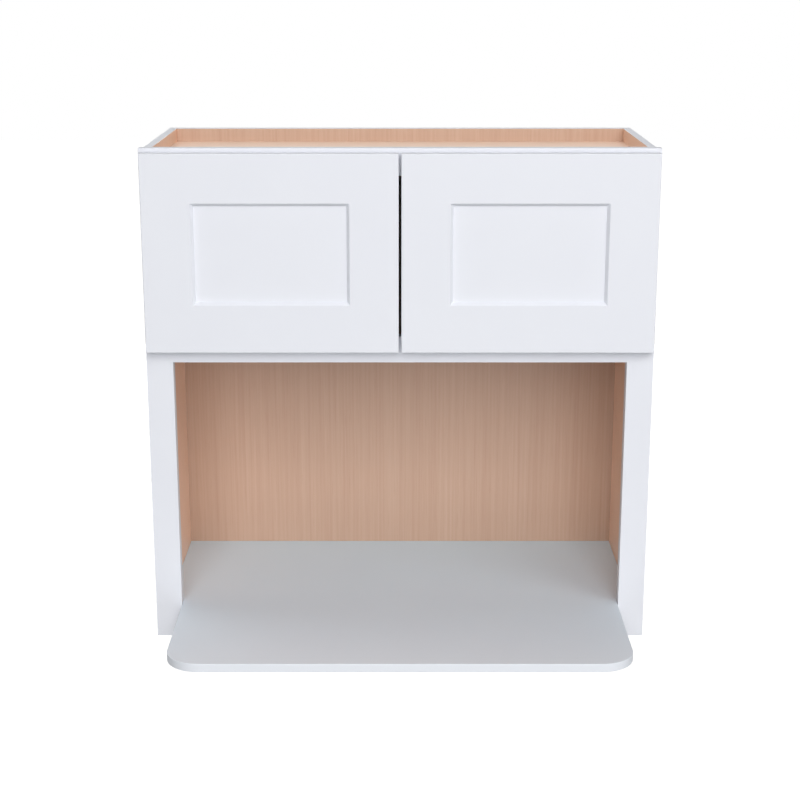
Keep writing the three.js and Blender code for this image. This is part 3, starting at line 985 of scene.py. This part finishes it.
for hand in ("left", "right"):
    for place in ("upper", "lower"):
        bumper(hand, place)
print("bumpers: 4")

# %% [markdown]
# ## Light
#
# The cabinet is lit as for a catalogue, by six large soft lamps that stand eight metres away, so
# that no shadow has a hard edge. The strongest is in front and above the camera: it lights the
# faces and forms the shadow under the doors. A level one in front and one to the right of it
# reach into the niche. One high on the right tells the left edges from the right ones. Behind
# the cabinet, a high lamp lights its top and a low one its bare back.

# %% Light
LAMP_DISTANCE = 8.0
LAMP_SIZE = 4.2
LAMPS = {  # degrees to the right of the front, degrees up, watts
    "front": (0, 30, 328),
    "level": (0, 0, 92),
    "right": (30, 0, 92),
    "upper_right": (45, 42, 118),
    "rear_left": (-120, 45, 90),
    "rear": (180, -8, 190),
}
middle = (cad_box[0] + cad_box[1]) / 2


def direction(right, up):
    """The way from the cabinet to a lamp, from its two angles."""
    turn, rise = math.radians(right), math.radians(up)
    level = math.cos(rise)
    return Vector((math.sin(turn) * level, -math.cos(turn) * level, math.sin(rise)))


def soft_lamp(name, right, up, power):
    lamp = bpy.data.lights.new(name, "AREA")
    lamp.shape = "SQUARE"
    lamp.size = LAMP_SIZE
    lamp.energy = power
    holder = bpy.data.objects.new(name, lamp)
    towards = direction(right, up)
    holder.location = middle + towards * LAMP_DISTANCE
    holder.rotation_euler = towards.to_track_quat("Z", "Y").to_euler()
    bpy.context.scene.collection.objects.link(holder)


for name, settings in LAMPS.items():
    soft_lamp(name, *settings)
print("lamps:", ", ".join(LAMPS))

# %% [markdown]
# ## Backdrop and floor
#
# The world round the cabinet fills its shadows. A wall cabinet hangs about 1.4 m above the floor,
# so the floor shows no clear shadow of it, and only sends a little light back up. A page is white
# behind its picture, but a world and a floor that lit the cabinet as white ones would wash it
# out. So both are white only where the camera sees them, directly, in a reflection or through
# glass. To every other ray the world is dim and the floor a plain grey.

# %% Backdrop and floor
WHITE = (1, 1, 1, 1)
AMBIENT = 0.14  # the world's strength as a source of light
FLOOR_BELOW = 1.37
FLOOR_REACH = 20  # from the floor's middle to its sides
FLOOR_TONE = chart(140, 140, 140)
FLOOR_ROUGHNESS = 0.9


def seen(tree):
    """1 for a ray from the camera, or one off gloss or through glass, and 0 for any other."""
    direct = tree.node("ShaderNodeLightPath", output="Is Camera Ray")
    either = direct.math("MAXIMUM", direct, direct.beside("Is Glossy Ray"))
    return direct.math("MAXIMUM", either, direct.beside("Is Transmission Ray"))


world = bpy.data.worlds.new("white_page")
page = Tree(world, "Background")
strength = page.node("ShaderNodeMapRange", inputs={"Value": seen(page), "To Min": AMBIENT})
page.drive({"Color": WHITE, "Strength": strength})
bpy.context.scene.world = world

floor_mesh = bmesh.new()
bmesh.ops.create_grid(floor_mesh, x_segments=1, y_segments=1, size=FLOOR_REACH)
bmesh.ops.translate(floor_mesh, vec=(0, 0, cabinet_foot - FLOOR_BELOW), verts=floor_mesh.verts)
floor_data = bpy.data.meshes.new("floor")
floor_mesh.to_mesh(floor_data)
floor_mesh.free()
floor = bpy.data.objects.new("floor", floor_data)
bpy.context.scene.collection.objects.link(floor)

floor_values = {"Base Color": FLOOR_TONE, "Roughness": FLOOR_ROUGHNESS, "Emission Color": WHITE}
floor_finish = Finish("pale_floor", floor_values)
floor_finish.drive({"Emission Strength": seen(floor_finish)})
floor_data.materials.append(floor_finish.material)
bpy.context.scene.view_settings.view_transform = "Standard"
print("world and floor: white where they are seen")
